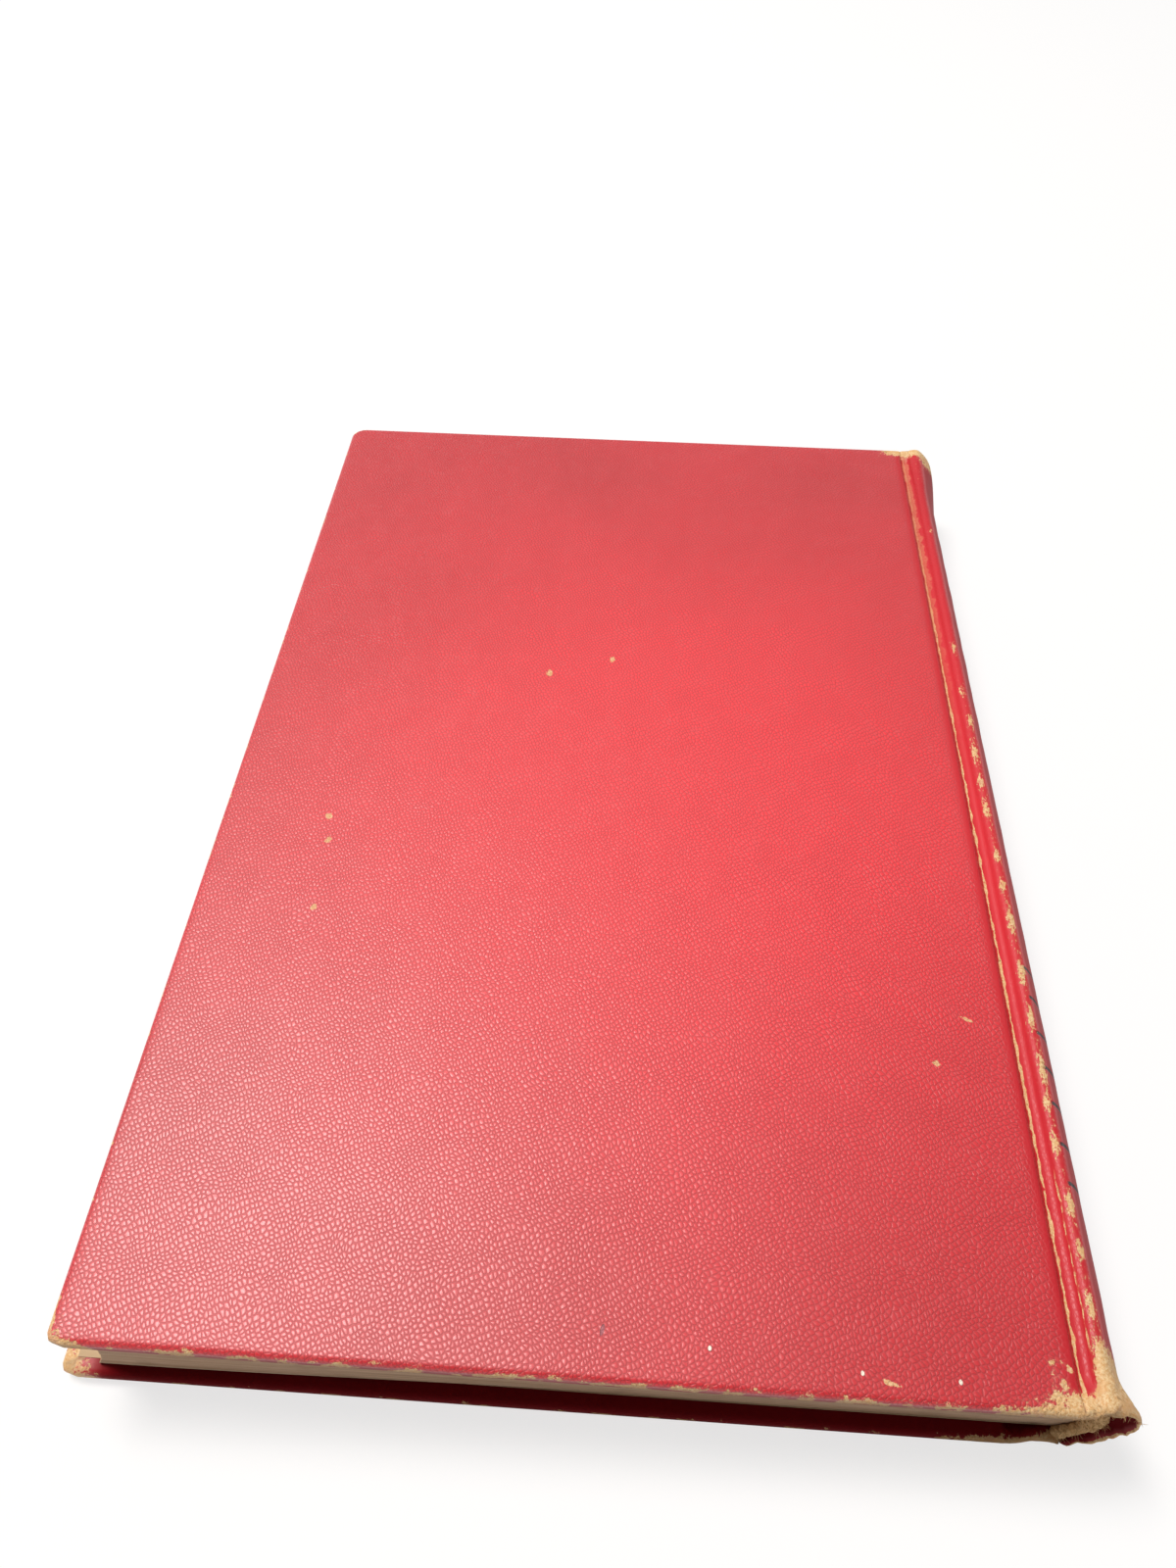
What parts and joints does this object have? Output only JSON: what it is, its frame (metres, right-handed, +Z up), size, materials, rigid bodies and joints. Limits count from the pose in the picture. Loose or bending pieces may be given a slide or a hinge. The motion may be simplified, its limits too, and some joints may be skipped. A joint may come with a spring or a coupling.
{
  "type": "hardback book",
  "caption": "Hardback book bound in red grained leather over boards, with a rounded spine, both covers opening, and worn tan edges.",
  "frame": {"origin": "under the middle of the closed book's overall box, on the surface it lies on", "axes": "+X from the fore edge to the spine, +Y from the tail to the head, +Z up from the front cover to the back cover"},
  "size_m": [0.1647, 0.235, 0.0234],
  "materials": {
    "red_leather": "satin",
    "millboard": "matte",
    "card": "matte",
    "kraft_paper": "matte",
    "mull_cloth": "matte",
    "endpaper": "matte",
    "page_paper": "matte"
  },
  "bodies": {
    "text_block": {"text_block": "page_paper", "front_flyleaf": "endpaper", "back_flyleaf": "endpaper", "mull": "mull_cloth", "spine_lining": "kraft_paper", "spine_inlay": "card", "spine_covering": "red_leather"},
    "front_cover": {"front_board": "millboard", "front_covering": "red_leather", "front_mull_wing": "mull_cloth", "front_pastedown": "endpaper"},
    "back_cover": {"back_board": "millboard", "back_covering": "red_leather", "back_mull_wing": "mull_cloth", "back_pastedown": "endpaper"}
  },
  "joints": [
    {"name": "front_cover_hinge", "type": "hinge", "parent": "text_block", "child": "front_cover", "pos_m": [0.0692, 0, -0.0002], "axis": [0, -1, 0], "range_deg": [0, 180]},
    {"name": "back_cover_hinge", "type": "hinge", "parent": "text_block", "child": "back_cover", "pos_m": [0.0742, 0, 0.0236], "axis": [0, 1, 0], "range_deg": [0, 180]}
  ]
}
